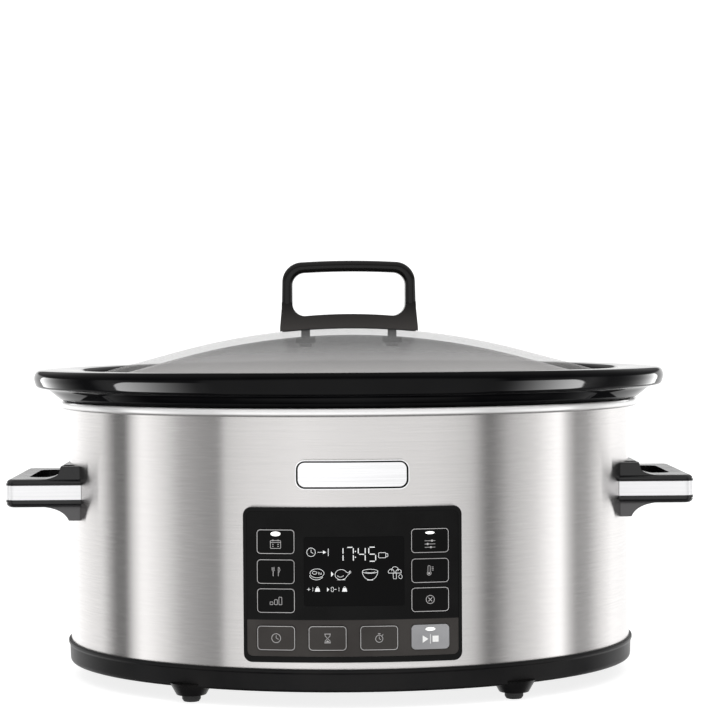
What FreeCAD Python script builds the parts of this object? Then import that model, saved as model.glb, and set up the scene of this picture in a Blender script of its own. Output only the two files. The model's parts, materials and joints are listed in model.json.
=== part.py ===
import FreeCAD, Part
import os
from math import sqrt, pi, cos, sin

# Oval electric slow cooker: heated base, lift-out stoneware crock, glass lid.
# Millimetres, +Z up, +X to the right seen from the front, the front faces -Y.
# Origin: centre of the bounding box on the resting plane.

os.makedirs("parts", exist_ok=True)
V = FreeCAD.Vector

# ---- driving dimensions --------------------------------------------------
WRAP_A = 180.2          # housing half length, outer face
WRAP_B = 135.0          # housing half depth, outer face
WRAP_T = 0.7            # housing sheet thickness
WRAP_Z0 = 23.3          # lower edge of the sheet
BEAD_Z = 173.4          # centre height of the rolled rim
BEAD_R = 2.3
BEAD_REACH = 6.4        # how far the rim rolls outwards

PAN_A = 181.5           # black base band
PAN_B = 136.4
PAN_Z0 = 9.6
FOOT_X = 96.5
FOOT_Y = 105.0

WELL_T = 0.8
CROCK_CREST = 196.0
CROCK_FLOOR = 65.0

LID_A = 167.0
LID_RATIO = 0.744
LID_APEX = 221.3
LID_T = 4.6

HANDLE_TOP = 264.5      # lid handle
HANDLE_HALF = 44.2
LID_SCREW_X = 28.0

GRIP_X = 215.7          # side handles
GRIP_Y = 48.8
GRIP_Z0 = 110.6
GRIP_Z1 = 128.2
TRIM_Z0 = 115.5
TRIM_Z1 = 124.4
FINGER_X0 = 186.0        # finger hole in the side handle
FINGER_X1 = 203.5
GRIP_SCREW_Y = 38.0
GRIP_SCREW_Z = 119.0

PANEL_HALF = 64.0       # control panel
PANEL_Z0 = 27.4
PANEL_Z1 = 118.2
PANEL_FRONT = 136.2
PANEL_R = 316.0
BOARD_Y = -124.3

KEY_W = 22.2
KEY_H = 14.4
KEY_GAP = 0.3
KEYS = {
    "key_left_1": (-44.9, 98.1),
    "key_left_2": (-44.9, 80.6),
    "key_left_3": (-44.9, 63.6),
    "key_right_1": (45.2, 98.1),
    "key_right_2": (45.2, 80.6),
    "key_right_3": (45.2, 63.6),
    "key_low_1": (-44.9, 41.7),
    "key_low_2": (-14.9, 41.7),
    "key_low_3": (15.2, 41.7),
    "key_start": (45.2, 41.7),
}
WINDOW = (-28.5, 30.1, 60.5, 100.9)
BADGE = (-33.3, 33.4, 128.5, 145.7)

GLAND_Z = 42.0
CORD_R = 3.6


# ---- elliptic skins --------------------------------------------------------
def bernstein_product(p, q):
    choose = (1.0, 2.0, 1.0)
    whole = (1.0, 4.0, 6.0, 4.0, 1.0)
    out = [0.0] * 5
    for i in range(3):
        for j in range(3):
            out[i + j] += choose[i] * choose[j] * p[i] * q[j]
    return [out[k] / whole[k] for k in range(5)]


HALF_ROOT = sqrt(0.5)
ARC_W = (1.0, HALF_ROOT, 1.0)
ARC_X = (1.0, HALF_ROOT, 0.0)
ARC_Y = (0.0, HALF_ROOT, 1.0)
U_WEIGHT = bernstein_product(ARC_W, ARC_W)
U_X = bernstein_product(ARC_X, ARC_W)
U_Y = bernstein_product(ARC_Y, ARC_W)
U_XX = bernstein_product(ARC_X, ARC_X)


def quarter(span, sx, sy):
    # one quarter of an elliptic band; span holds 2 or 3 control stations
    poles = []
    weights = []
    for k in range(5):
        row = []
        for a, b, zf, ze in span:
            x = sx * a * U_X[k] / U_WEIGHT[k]
            y = sy * b * U_Y[k] / U_WEIGHT[k]
            z = zf + (ze - zf) * U_XX[k] / U_WEIGHT[k]
            row.append(V(x, y, z))
        poles.append(row)
        weights.append([U_WEIGHT[k]] * len(span))
    vdeg = len(span) - 1
    surf = Part.BSplineSurface()
    surf.buildFromPolesMultsKnots(poles, [5, 5], [vdeg + 1, vdeg + 1], [0.0, 1.0], [0.0, 1.0],
                                  False, False, 4, vdeg, weights)
    return surf.toShape()


def station(v):
    # (a, b, z) or (a, b, z at the front, z at the ends)
    if len(v) == 3:
        return (v[0], v[1], v[2], v[2])
    return tuple(v)


def mix(p, q, t):
    return tuple(p[i] + (q[i] - p[i]) * t for i in range(4))


def gap(p, q):
    return sqrt((p[0] - q[0]) ** 2 + (p[1] - q[1]) ** 2 + (p[2] - q[2]) ** 2)


def spans_of(corners, closed):
    # corners: list of (station, radius); straight bands with rounded corners between
    pts = [station(c[0]) for c in corners]
    rad = [c[1] for c in corners]
    n = len(pts)
    enter = []
    leave = []
    for i in range(n):
        ends = (not closed) and i in (0, n - 1)
        prev = pts[i - 1]
        nxt = pts[(i + 1) % n]
        if ends or rad[i] <= 0:
            enter.append(pts[i])
            leave.append(pts[i])
            continue
        cut = min(rad[i], 0.5 * gap(pts[i], prev), 0.5 * gap(pts[i], nxt))
        enter.append(mix(pts[i], prev, cut / gap(pts[i], prev)))
        leave.append(mix(pts[i], nxt, cut / gap(pts[i], nxt)))
    spans = []
    for i in range(n):
        if gap(enter[i], leave[i]) > 1e-6:
            spans.append([enter[i], pts[i], leave[i]])
        if closed or i < n - 1:
            j = (i + 1) % n
            if gap(leave[i], enter[j]) > 1e-4:
                spans.append([leave[i], enter[j]])
    return spans


def ellipse_cap(v):
    a, b, z, ze = station(v)
    edges = []
    for sx, sy in ((1, 1), (-1, 1), (-1, -1), (1, -1)):
        band = quarter([(a, b, z, z), (a * 0.9, b * 0.9, z, z)], sx, sy)
        edges.append(longest_edge(band))
    wire = Part.Wire(Part.__sortEdges__(edges))
    return Part.Face(wire)


def longest_edge(face):
    best = None
    for e in face.Edges:
        if best is None or e.Length > best.Length:
            best = e
    return best


def skin(corners, closed=False):
    faces = []
    for span in spans_of(corners, closed):
        for sx, sy in ((1, 1), (-1, 1), (-1, -1), (1, -1)):
            faces.append(quarter(span, sx, sy))
    if not closed:
        faces.append(ellipse_cap(corners[0][0]))
        faces.append(ellipse_cap(corners[-1][0]))
    pack = Part.makeCompound(faces)
    pack.sewShape(0.001)
    shell = pack.Shells[0]
    solid = Part.makeSolid(shell)
    if solid.Volume < 0:
        solid.reverse()
    return solid


def oval(a, b, z0, z1):
    # straight elliptic block
    e = Part.Ellipse(V(a, 0, z0), V(0, b, z0), V(0, 0, z0))
    return Part.Face(Part.Wire(e.toShape())).extrude(V(0, 0, z1 - z0))


def housing_block(offset, z0, z1):
    return oval(WRAP_A + offset, WRAP_B + offset, z0, z1)


# ---- plain shapes -----------------------------------------------------------
def box(x0, x1, y0, y1, z0, z1):
    return Part.makeBox(x1 - x0, y1 - y0, z1 - z0, V(x0, y0, z0))


def rod_z(x, y, z0, z1, r):
    return Part.makeCylinder(r, z1 - z0, V(x, y, z0), V(0, 0, 1))


def rod_y(x, z, y0, y1, r):
    return Part.makeCylinder(r, y1 - y0, V(x, y0, z), V(0, 1, 0))


def rod_x(y, z, x0, x1, r):
    return Part.makeCylinder(r, x1 - x0, V(x0, y, z), V(1, 0, 0))


def edges_along(shape, axis):
    found = []
    for e in shape.Edges:
        d = e.Vertexes[-1].Point - e.Vertexes[0].Point
        if d.Length > 1e-6 and abs(abs(d.dot(axis)) / d.Length - 1) < 1e-6:
            found.append(e)
    return found


def soft_box(x0, x1, y0, y1, z0, z1, r, axis):
    body = box(x0, x1, y0, y1, z0, z1)
    return body.makeFillet(r, edges_along(body, axis))


def front_block(x0, x1, z0, z1, r, y0=-150.0, y1=-100.0):
    return soft_box(x0, x1, y0, y1, z0, z1, r, V(0, 1, 0))


def fuse(shapes):
    whole = shapes[0]
    for s in shapes[1:]:
        whole = whole.fuse(s)
    return whole.removeSplitter()


def mirrored(shape):
    return shape.mirror(V(0, 0, 0), V(1, 0, 0))


def write(name, shape):
    solids = shape.Solids
    out = solids[0] if len(solids) == 1 else Part.makeCompound(solids)
    if not out.isValid():
        print("not valid:", name)
    out.exportStep("parts/" + name + ".step")
    b = out.BoundBox
    print("%-20s %2d  x %7.1f %7.1f  y %7.1f %7.1f  z %6.1f %6.1f  %10.1f" % (
        name, len(solids), b.XMin, b.XMax, b.YMin, b.YMax, b.ZMin, b.ZMax, out.Volume))


# ---- housing ------------------------------------------------------------------
def housing_wrap():
    a0 = WRAP_A - WRAP_T
    b0 = WRAP_B - WRAP_T
    top = BEAD_Z + BEAD_R
    low = BEAD_Z - BEAD_R
    reach = BEAD_REACH
    inner_r = BEAD_R - WRAP_T
    sheet = skin([
        ((a0, b0, WRAP_Z0), 0),
        ((a0, b0, top), BEAD_R),
        ((a0 + reach, b0 + reach, top), BEAD_R),
        ((a0 + reach, b0 + reach, low), BEAD_R),
        ((a0 + 1.7, b0 + 1.7, low), 0),
        ((a0 + 1.7, b0 + 1.7, low + WRAP_T), 0),
        ((a0 + reach - WRAP_T, b0 + reach - WRAP_T, low + WRAP_T), inner_r),
        ((a0 + reach - WRAP_T, b0 + reach - WRAP_T, top - WRAP_T), inner_r),
        ((WRAP_A, WRAP_B, top - WRAP_T), inner_r),
        ((WRAP_A, WRAP_B, WRAP_Z0), 0),
    ], closed=True)
    tools = [front_block(-61.7, 61.7, 31.0, 116.5, 3.2)]
    tools.append(rod_y(0, GLAND_Z, 120, 140, 6.1))
    for sx in (-1, 1):
        for sy in (-1, 1):
            hole = rod_x(sy * GRIP_SCREW_Y, GRIP_SCREW_Z, 160, 185, 2.3)
            tools.append(hole if sx > 0 else mirrored(hole))
    return sheet.cut(tools)


BRACKET_SPOTS = ((-140, -60), (140, -60), (-140, 60), (140, 60))
BOARD_POSTS = ((-92, -36), (-92, 30), (-16, -36), (-16, 30))


def wrap_brackets():
    inside = housing_block(-WRAP_T - 0.02, 20, 60)
    inside_leg = housing_block(-WRAP_T - 1.02, 20, 60)
    out = []
    for x, y in BRACKET_SPOTS:
        sx = 1 if x > 0 else -1
        sy = 1 if y > 0 else -1
        x0, x1 = sorted((x - sx * 8, x + sx * 30))
        y0, y1 = sorted((y - sy * 8, y + sy * 8))
        tab = box(x0, x1, y0, y1, 36.0, 37.0).common(inside)
        leg = box(x0, x1, y0, y1, 37.0, 50.0).common(inside.cut(inside_leg))
        piece = tab.fuse(leg).removeSplitter()
        out.append(piece.cut(rod_z(x, y, 30, 40, 2.05)))
    return Part.makeCompound(out)


def heating_well():
    t = WELL_T
    return skin([
        ((142.0, 92.0, 51.2), 0),
        ((154.8, 104.8, 51.2), 9),
        ((165.8, 116.8, 120.0), 40),
        ((171.8, 123.8, 171.4), 4),
        ((WRAP_A - 1.0, WRAP_B - 1.0, 171.4), 0),
        ((WRAP_A - 1.0, WRAP_B - 1.0, 172.2), 0),
        ((171.0, 123.0, 172.2), 4.6),
        ((165.8 - t, 116.8 - t, 120.0), 40),
        ((154.8 - t, 104.8 - t, 51.2 + t), 8.4),
        ((142.0, 92.0, 51.2 + t), 0),
    ])


def well_station(z, offset):
    t = (z - 51.2) / (120.0 - 51.2)
    return (154.8 + 11.0 * t + offset, 104.8 + 12.0 * t + offset, z)


def tapered_ring(z0, z1, d0, d1):
    return skin([
        (well_station(z0, d0), 0),
        (well_station(z1, d0), 0),
        (well_station(z1, d1), 0),
        (well_station(z0, d1), 0),
    ], closed=True)


def heater_band():
    return tapered_ring(63.0, 93.0, 0.25, 2.4).cut(box(-1.5, 1.5, 90, 125, 60, 96))


def band_clamp():
    ring = tapered_ring(66.0, 90.0, 2.5, 3.3)
    bolt_hole = rod_x(115.6, 78.0, -15, 15, 1.45)
    out = []
    for x in (-7.0, 7.0):
        strap = ring.common(box(x - 5, x + 5, 100, 125, 64, 92))
        ear = box(x - 2, x + 2, 112.4, 118.0, 74, 82)
        out.append(strap.fuse(ear).removeSplitter().cut(bolt_hole))
    out.append(rod_x(115.6, 78.0, -12, 12, 1.4))
    return Part.makeCompound(out)


def heat_shield():
    outer = oval(168.0, 119.2, 55.0, 112.0)
    inner = oval(167.5, 118.7, 50.0, 115.0)
    return outer.cut(inner).cut(box(-14, 14, 110, 125, 50, 98))


def shield_plate():
    plate = oval(150.0, 100.0, 48.6, 49.2)
    return plate.cut(rod_z(0, 0, 40, 55, 9))


# ---- base -----------------------------------------------------------------------
def base_pan():
    # the spigot stands inside the sheet, the band stands under it
    a0 = WRAP_A - WRAP_T - 0.1
    b0 = WRAP_B - WRAP_T - 0.1
    tub = skin([
        ((150.0, 104.0, PAN_Z0), 0),
        ((PAN_A - 0.6, PAN_B - 0.6, PAN_Z0), 2.6),
        ((PAN_A - 0.3, PAN_B - 0.3, 20.6), 0.8),
        ((PAN_A + 0.5, PAN_B + 0.3, 21.2), 0.6),
        ((PAN_A + 0.5, PAN_B + 0.3, WRAP_Z0 - 0.05), 0.8),
        ((a0, b0, WRAP_Z0 - 0.05), 0),
        ((a0, b0, 30.0), 0),
        ((a0 - 2.2, b0 - 2.2, 30.0), 0),
        ((a0 - 2.2, b0 - 2.2, PAN_Z0 + 2.6), 2.4),
        ((150.0, 104.0, PAN_Z0 + 2.6), 0),
    ])
    shapes = [tub]
    for sx in (-1, 1):
        for sy in (-1, 1):
            boss = Part.makeCone(9.0, 13.2, 7.5, V(sx * FOOT_X, sy * FOOT_Y, 4.2), V(0, 0, 1))
            shapes.append(boss)
            shapes.append(rod_z(sx * FOOT_X, sy * FOOT_Y, 12.0, 16.0, 6))
    for x, y in BRACKET_SPOTS:
        shapes.append(rod_z(x, y, 12.0, 35.9, 4.6))
    for x, y in BOARD_POSTS:
        shapes.append(rod_z(x, y, 12.0, 23.9, 3.2))
    shapes.append(rod_z(0, 0, 12.0, 30.0, 6.6))
    pan = fuse(shapes)
    tools = []
    for sx in (-1, 1):
        for sy in (-1, 1):
            tools.append(rod_z(sx * FOOT_X, sy * FOOT_Y, 0, 20, 3.05))
            tools.append(rod_z(sx * FOOT_X, sy * FOOT_Y, 0, 4.3, 6))
    for x, y in BRACKET_SPOTS:
        tools.append(rod_z(x, y, 5, 40, 2.05))
        tools.append(rod_z(x, y, 5, 13.4, 4.3))
    for x, y in BOARD_POSTS:
        tools.append(rod_z(x, y, 15.0, 30, 1.3))
    tools.append(front_block(-61.7, 61.7, 28.7, 116.5, 2.0, -150, -128.5))
    for x in (-60, -30, 0, 30, 60):
        for k in (-1, 0, 1):
            tools.append(soft_box(x - 9, x + 9, k * 34 + 9, k * 34 + 12, 5, 20, 1.4, V(0, 0, 1)))
    return pan.cut(tools)


def foot(sx, sy):
    x = sx * FOOT_X
    y = sy * FOOT_Y
    pad = Part.makeCone(4.7, 5.6, 1.4, V(x, y, 0), V(0, 0, 1)).fuse(rod_z(x, y, 1.4, 4.2, 5.6))
    plug = rod_z(x, y, 4.0, 16.4, 2.98)
    head = Part.makeCone(4.0, 2.6, 2.2, V(x, y, 16.1), V(0, 0, 1))
    return fuse([pad, plug, head])


def base_screws():
    out = []
    for x, y in BRACKET_SPOTS:
        head = Part.makeCylinder(3.9, 2.3, V(x, y, 11.0), V(0, 0, 1))
        shank = rod_z(x, y, 13.2, 40.5, 1.98)
        cross = box(x - 2.2, x + 2.2, y - 0.5, y + 0.5, 10, 12.2)
        cross = cross.fuse(box(x - 0.5, x + 0.5, y - 2.2, y + 2.2, 10, 12.2))
        out.append(head.fuse(shank).removeSplitter().cut(cross))
    return Part.makeCompound(out)


def power_board():
    board = soft_box(-97, -10, -41, 35, 24.0, 25.6, 2, V(0, 0, 1))
    for x, y in BOARD_POSTS:
        board = board.cut(rod_z(x, y, 20, 30, 1.4))
    return board


def board_parts():
    relay = soft_box(-88, -69, -34, -18, 25.7, 41.0, 1, V(0, 0, 1))
    capacitor = soft_box(-62, -44, -34, -25, 25.7, 40.5, 1, V(0, 0, 1))
    core = box(-60, -22, -8, 24, 30.0, 42.0)
    bobbin = soft_box(-52, -30, -12, 28, 27.0, 45.0, 2, V(0, 0, 1))
    pins = box(-54, -28, -6, 22, 25.7, 30.0)
    transformer = fuse([core, bobbin, pins])
    terminals = soft_box(-92, -78, -8, 24, 25.7, 37.0, 1, V(0, 0, 1))
    for k in range(3):
        y = -2.5 + k * 10.5
        terminals = terminals.cut(rod_z(-85, y, 32, 40, 2.4))
        terminals = terminals.cut(box(-95, -85, y - 2.4, y + 2.4, 32, 40))
    write("power_relay", relay)
    write("filter_capacitor", capacitor)
    write("power_transformer", transformer)
    write("terminal_block", terminals)


def thermal_fuse():
    can = rod_x(30.0, 46.0, 20, 34, 2.0)
    leads = rod_x(30.0, 46.0, 14, 40, 0.5)
    sleeve = box(22, 32, 29, 31, 47.0, 48.5)
    return fuse([can, leads, sleeve])


def temperature_sensor():
    cap = rod_z(0, 0, 46.0, 51.1, 6.0)
    skirt = rod_z(0, 0, 41.0, 46.0, 4.6)
    lip = rod_z(0, 0, 44.5, 46.0, 7.4)
    return fuse([cap, skirt, lip])


def sensor_spring():
    # a closed bow of flat strip between the pillar and the sensor
    loop = soft_box(-9.0, 9.0, -3.0, 3.0, 30.1, 40.9, 5.3, V(0, 1, 0))
    opening = soft_box(-8.4, 8.4, -4.0, 4.0, 30.7, 40.3, 4.7, V(0, 1, 0))
    return loop.cut(opening)


def swept_wire(points, r):
    curve = Part.BSplineCurve()
    curve.interpolate([V(*p) for p in points])
    spine = Part.Wire(curve.toShape())
    d = curve.tangent(curve.FirstParameter)[0]
    section = Part.Wire(Part.makeCircle(r, V(*points[0]), d))
    return spine.makePipeShell([section], True, True)


def wires():
    mains = []
    for k in range(3):
        y = -2.5 + k * 10.5
        mains.append(swept_wire([(-2.4 + 2.4 * k, 124.8, GLAND_Z), (-20 + 3 * k, 110, GLAND_Z - 4),
                                 (-70 - 2 * k, 90 - 6 * k, 33), (-112 + 2 * k, 40, 32.5),
                                 (-108, y + 3, 40), (-96, y, 41), (-85, y, 34)], 1.1))
    write("mains_wires", Part.makeCompound(mains))
    heater = []
    for k in (-1, 1):
        heater.append(swept_wire([(-66 + 3 * k, -45 - k, 28), (-60, -60 - 4 * k, 34),
                                  (-110 + 4 * k, -68 - 3 * k, 40), (-140 - 2 * k, -62 - 4 * k, 46),
                                  (-146 - 3 * k, -64 - 5 * k, 57)], 1.0))
    write("heater_wires", Part.makeCompound(heater))
    sensor = []
    for k in (-1, 1):
        sensor.append(swept_wire([(7.2, 2.0 * k, 42.6), (12, 2.5 * k, 36), (16, -14 + 2 * k, 29),
                                  (8, -26 + 2 * k, 28.5), (0, -30 + 2 * k, 28)], 0.6))
    write("sensor_wires", Part.makeCompound(sensor))
    ribbon = []
    ribbon.append(box(-22, -8, -116.0, -115.2, 30.0, 40.0))
    ribbon.append(box(-22, -8, -116.0, -44.0, 29.2, 30.0))
    write("ribbon_cable", fuse(ribbon))


# ---- control panel ----------------------------------------------------------------
def panel_round(depth):
    y = PANEL_R - PANEL_FRONT
    return Part.makeCylinder(PANEL_R - depth, 140, V(0, y, 0), V(0, 0, 1))


def panel_layer(x0, x1, z0, z1, r, d0, d1):
    block = front_block(x0, x1, z0, z1, r)
    return block.common(panel_round(d0)).cut(panel_round(d1))


def panel_bezel():
    face = front_block(-PANEL_HALF, PANEL_HALF, PANEL_Z0, PANEL_Z1, 5.0)
    face = face.common(panel_round(0)).cut(housing_block(0.05, 0, 150))
    skirt = front_block(-61.5, 61.5, 31.2, 116.3, 3.0, -150, -124.4).common(panel_round(1.0))
    body = fuse([face, skirt])
    recess = front_block(-62.0, 62.0, 30.8, 115.8, 3.4).cut(panel_round(2.2))
    through = front_block(-57.6, 57.6, 33.2, 113.0, 2.0)
    body = body.cut([recess, through])
    holes = []
    for x in (-59.55, 59.55):
        for z in (44.0, 102.0):
            holes.append(rod_y(x, z, -127.2, -120, 1.05))
    return body.cut(holes)


def key_hole(x, z):
    w = KEY_W / 2 + KEY_GAP
    h = KEY_H / 2 + KEY_GAP
    return front_block(x - w, x + w, z - h, z + h, 2.8)


def panel_face():
    plate = panel_layer(-61.9, 61.9, 30.9, 115.7, 3.3, 0.3, 2.1)
    tools = [key_hole(x, z) for x, z in KEYS.values()]
    x0, x1, z0, z1 = WINDOW
    tools.append(front_block(x0, x1, z0, z1, 1.5))
    return plate.cut(tools)


def display_window():
    x0, x1, z0, z1 = WINDOW
    return panel_layer(x0 + 0.1, x1 - 0.1, z0 + 0.1, z1 - 0.1, 1.4, 0.3, 2.1)


def lcd_module():
    glass = box(-26.5, 28.1, -132.3, -130.4, 63.5, 99.9)
    frame = box(-27.5, 29.1, -131.4, -125.6, 62.5, 100.9)
    legs = []
    for x in (-25.5, 27.1):
        for z in (64.5, 98.9):
            legs.append(box(x - 1.2, x + 1.2, -125.8, -124.4, z - 1.2, z + 1.2))
    return fuse([frame, glass] + legs)


def key(x, z):
    w = KEY_W / 2
    h = KEY_H / 2
    cap = panel_layer(x - w, x + w, z - h, z + h, 2.5, -0.2, 3.0)
    flange = panel_layer(x - w - 0.9, x + w + 0.9, z - h - 0.9, z + h + 0.9, 1.2, 2.5, 3.3)
    stem = box(x - 2.5, x + 2.5, -140.0, -128.5, z - 2.0, z + 2.0).common(panel_round(2.8))
    return fuse([cap, flange, stem])


def control_board():
    board = soft_box(-60.9, 60.9, BOARD_Y + 0.05, BOARD_Y + 1.65, 32.4, 115.0, 2, V(0, 1, 0))
    for x in (-59.55, 59.55):
        for z in (44.0, 102.0):
            board = board.cut(rod_y(x, z, -130, -120, 1.15))
    return board


def tact_switches():
    out = []
    for x, z in KEYS.values():
        can = box(x - 3, x + 3, -126.4, BOARD_Y, z - 3, z + 3)
        out.append(can.fuse(rod_y(x, z, -127.6, -126.0, 1.7)).removeSplitter())
    return Part.makeCompound(out)


def indicator_leds():
    out = []
    for name in ("key_left_1", "key_right_1", "key_start"):
        x, z = KEYS[name]
        body = box(x - 1.6, x + 1.6, -125.4, BOARD_Y, z + 4.6, z + 6.2)
        lens = box(x - 1.1, x + 1.1, -126.0, -125.3, z + 4.9, z + 5.9)
        out.append(body.fuse(lens).removeSplitter())
    return Part.makeCompound(out)


def board_screws():
    out = []
    for x in (-59.55, 59.55):
        for z in (44.0, 102.0):
            head = rod_y(x, z, BOARD_Y + 1.7, BOARD_Y + 3.0, 1.9)
            shank = rod_y(x, z, -127.0, BOARD_Y + 1.9, 1.0)
            slot = box(x - 1.5, x + 1.5, BOARD_Y + 2.4, BOARD_Y + 4, z - 0.3, z + 0.3)
            out.append(head.fuse(shank).removeSplitter().cut(slot))
    return Part.makeCompound(out)


def panel_back_cover():
    outer = soft_box(-57.2, 57.2, BOARD_Y + 1.7, -119.6, 33.5, 114.0, 4, V(0, 1, 0))
    inner = soft_box(-56.2, 56.2, BOARD_Y + 1.0, -120.6, 34.5, 113.0, 3, V(0, 1, 0))
    cover = outer.cut(inner)
    return cover.cut(box(-24, -6, -125, -115, 30, 37))


# ---- side handles -----------------------------------------------------------------
def grip_outline(inset):
    r = 6.5 - inset
    x1 = GRIP_X - inset
    y1 = GRIP_Y - inset
    body = box(120, x1, -y1, y1, GRIP_Z0, GRIP_Z1)
    corner = [e for e in edges_along(body, V(0, 0, 1)) if e.Vertexes[0].X > x1 - 1]
    return body.makeFillet(r, corner)


def grip_bracket():
    # profile in the XZ plane, drawn from the wall outwards
    low = Part.BSplineCurve()
    low.buildFromPolesMultsKnots([V(176.2, 0, 102.2), V(179.2, 0, 109.4), V(191.5, 0, 110.8)],
                                 [3, 3], [0, 1], False, 2)
    high = Part.BSplineCurve()
    high.buildFromPolesMultsKnots([V(196.0, 0, 127.9), V(185.4, 0, 128.2), V(182.3, 0, 131.6)],
                                  [3, 3], [0, 1], False, 2)
    edges = [
        Part.makeLine(V(150, 0, 102.2), V(176.2, 0, 102.2)),
        low.toShape(),
        Part.makeLine(V(191.5, 0, 110.8), V(196.0, 0, 110.9)),
        Part.makeLine(V(196.0, 0, 110.9), V(196.0, 0, 127.9)),
        high.toShape(),
        Part.makeLine(V(182.3, 0, 131.6), V(180.9, 0, 136.3)),
        Part.makeLine(V(180.9, 0, 136.3), V(150, 0, 136.3)),
        Part.makeLine(V(150, 0, 136.3), V(150, 0, 102.2)),
    ]
    face = Part.Face(Part.Wire(edges))
    block = face.extrude(V(0, 2 * 46.6, 0))
    block.translate(V(0, -46.6, 0))
    return block


def handle_grip():
    loop = grip_outline(0)
    rims = []
    for e in loop.Edges:
        b = e.BoundBox
        flat = b.ZLength < 1e-6
        if flat and b.XMax > 125 and b.XMax - b.XMin > 1e-3:
            rims.append(e)
        elif flat and b.XMin > GRIP_X - 1:
            rims.append(e)
    loop = loop.makeFillet(3.4, rims)
    hole = soft_box(FINGER_X0, FINGER_X1, -30.0, 30.0, 90, 150, 6, V(0, 0, 1))
    body = loop.fuse(grip_bracket()).cut(hole)
    body = body.cut(housing_block(0.05, 90, 150))
    groove = grip_outline(-2).cut(grip_outline(1.5))
    groove = groove.common(box(120, 230, -60, 60, TRIM_Z0 - 0.1, TRIM_Z1 + 0.1))
    skirt = grip_outline(-2).cut(grip_outline(0.6))
    upper_line = skirt.common(box(120, 230, -60, 60, 125.7, 126.5))
    lower_line = skirt.common(box(120, 230, -60, 60, 113.0, 113.8))
    body = body.cut([groove, upper_line, lower_line])
    tools = [rod_x(sy * GRIP_SCREW_Y, GRIP_SCREW_Z, 150, 196, 1.85) for sy in (-1, 1)]
    for sy in (-1, 1):
        y0, y1 = sorted((sy * 34.0, sy * 44.5))
        pocket = soft_box(172.4, 180.1, y0, y1, 130.5, 140, 1.8, V(0, 0, 1))
        tools.append(pocket)
    body = body.cut(tools)
    keep = [s for s in body.Solids if s.Volume > 500]
    return keep[0]


def handle_trim():
    band = grip_outline(0).cut(grip_outline(1.4))
    band = band.common(box(150, 230, -60, 60, TRIM_Z0, TRIM_Z1))
    return band.cut(housing_block(0.15, 90, 150))


def handle_plate():
    shell = housing_block(-WRAP_T - 0.1, 108, 130).cut(housing_block(-WRAP_T - 1.6, 100, 140))
    plate = shell.common(box(120, 190, -44, 44, 108, 130))
    pads = []
    for sy in (-1, 1):
        pad = rod_x(sy * GRIP_SCREW_Y, GRIP_SCREW_Z, 167.6, 178, 5.0)
        pads.append(pad.common(housing_block(-WRAP_T - 0.1, 100, 140)))
    body = fuse([plate] + pads)
    holes = [rod_x(sy * GRIP_SCREW_Y, GRIP_SCREW_Z, 150, 190, 2.2) for sy in (-1, 1)]
    return body.cut(holes)


def handle_screws():
    out = []
    for side in (-1, 1):
        for sy in (-1, 1):
            y = sy * GRIP_SCREW_Y
            head = rod_x(y, GRIP_SCREW_Z, 165.2, 167.5, 3.6)
            shank = rod_x(y, GRIP_SCREW_Z, 167.2, 192, 1.8)
            slot = box(164, 166.3, y - 2.2, y + 2.2, GRIP_SCREW_Z - 0.5, GRIP_SCREW_Z + 0.5)
            screw = head.fuse(shank).removeSplitter().cut(slot)
            out.append(screw if side > 0 else mirrored(screw))
    return Part.makeCompound(out)


def badge():
    x0, x1, z0, z1 = BADGE
    plate = front_block(x0, x1, z0, z1, 5.5).common(housing_block(2.0, 100, 160))
    plate = plate.cut(housing_block(0.05, 90, 170))
    field = front_block(x0 + 1.3, x1 - 1.3, z0 + 1.3, z1 - 1.3, 4.3).cut(housing_block(1.5, 90, 170))
    return plate.cut(field)


def cord_gland():
    flange = rod_y(0, GLAND_Z, 134.0, 138.4, 9.5).cut(housing_block(0.05, 20, 80))
    neck = rod_y(0, GLAND_Z, 130.5, 136.0, 5.9)
    collar = rod_y(0, GLAND_Z, 126.5, 134.2, 8.0).common(housing_block(-WRAP_T - 0.05, 20, 80))
    body = fuse([flange, neck, collar])
    return body.cut(rod_y(0, GLAND_Z, 120, 145, CORD_R))


# ---- crock and lid ------------------------------------------------------------------
def crock():
    return skin([
        ((128.0, 80.0, 55.4), 0),
        ((140.0, 91.0, 55.4), 2),
        ((142.0, 93.0, 53.2), 1.5),
        ((151.0, 101.2, 53.2), 12),
        ((161.6, 112.6, 120.0), 50),
        ((166.6, 119.6, 176.1), 5),
        ((184.8, 136.6, 176.1), 2),
        ((189.4, 138.2, 179.6), 4),
        ((194.0, 139.4, 183.3, 183.5), 4.5),
        ((201.6, 142.2, 183.5, 184.7), 2.2),
        ((203.2, 142.4, 190.3), 3.2),
        ((201.2, 142.0, CROCK_CREST + 0.6, 195.2), 5.5),
        ((187.4, 136.6, CROCK_CREST + 0.6, 196.0), 9),
        ((170.8, 129.0, CROCK_CREST - 0.2, 195.4), 4),
        ((169.6, 127.0, 188.0), 1.6),
        ((161.4, 118.8, 187.6), 3),
        ((160.4, 113.4, 176.0), 14),
        ((154.6, 105.8, 120.0), 50),
        ((144.0, 94.0, CROCK_FLOOR), 18),
        ((118.0, 70.0, CROCK_FLOOR), 0),
    ])


def dome(x):
    if x < 110:
        return LID_APEX - 0.0012 * x * x
    return LID_APEX - 0.0012 * 110 * 110 - 0.270 * (x - 110)


def lid_corners(drop, last):
    rows = []
    x = 12.0
    while x < last:
        rows.append(((x, x * LID_RATIO, dome(x) - drop), 60))
        x += 16.0
    rows[0] = (rows[0][0], 0)
    return rows


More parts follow.
